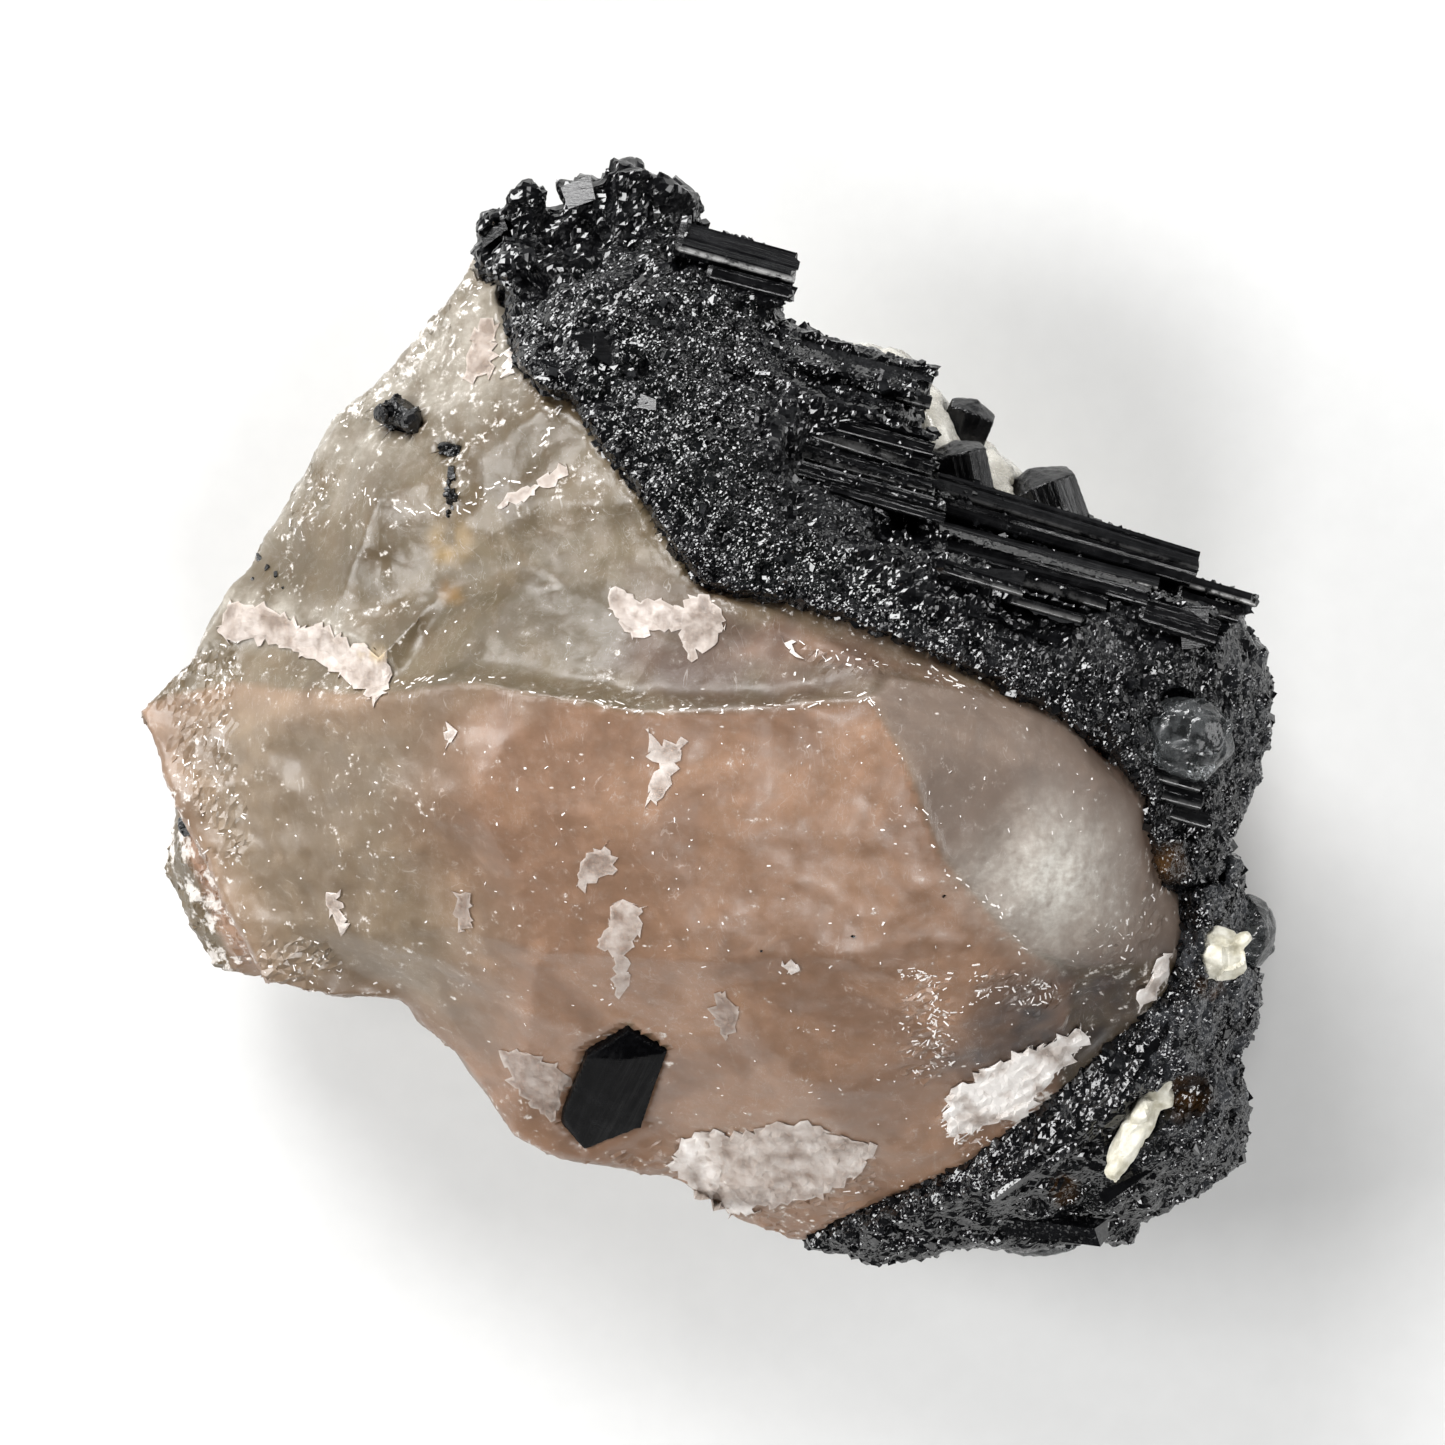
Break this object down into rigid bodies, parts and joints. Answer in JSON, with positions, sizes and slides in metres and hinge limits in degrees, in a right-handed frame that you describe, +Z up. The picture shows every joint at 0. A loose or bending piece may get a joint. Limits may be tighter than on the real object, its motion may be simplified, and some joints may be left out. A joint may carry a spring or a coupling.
{
  "type": "mineral specimen",
  "caption": "Broken hand specimen of clear smoky quartz with a mass of black striated schorl columns fused to one side, lying on its back with the broad face up.",
  "frame": {"origin": "on the flat resting face, under the middle of the outline seen from above", "axes": "+Z up, out of the broad quartz face; +X right along the longest side and +Y up the face, as one looks down on it with the schorl mass at the upper right"},
  "size_m": [0.0627, 0.0606, 0.0352],
  "materials": {
    "smoky_quartz": "polished by fracture, slightly milky, pale brown",
    "pale_quartz": "milky white, wet-looking",
    "schorl": "black, glassy on crystal faces, sparkling and granular where broken",
    "feldspar": "cream, satin"
  },
  "bodies": {
    "root": {"smoky_quartz": "smoky_quartz", "rear_quartz": "pale_quartz", "quartz_bead": "pale_quartz", "quartz_chip_bottom": "pale_quartz", "quartz_chip_right": "pale_quartz", "schorl_columns": "schorl", "schorl_flank": "schorl", "schorl_front": "schorl", "schorl_rear_large": "schorl", "schorl_rear_small": "schorl", "schorl_rear_middle": "schorl", "schorl_left_edge": "schorl", "schorl_upper_left": "schorl", "schorl_speck": "schorl", "schorl_speck_low": "schorl", "feldspar_chip": "feldspar", "feldspar_blade": "feldspar"}
  },
  "joints": []
}
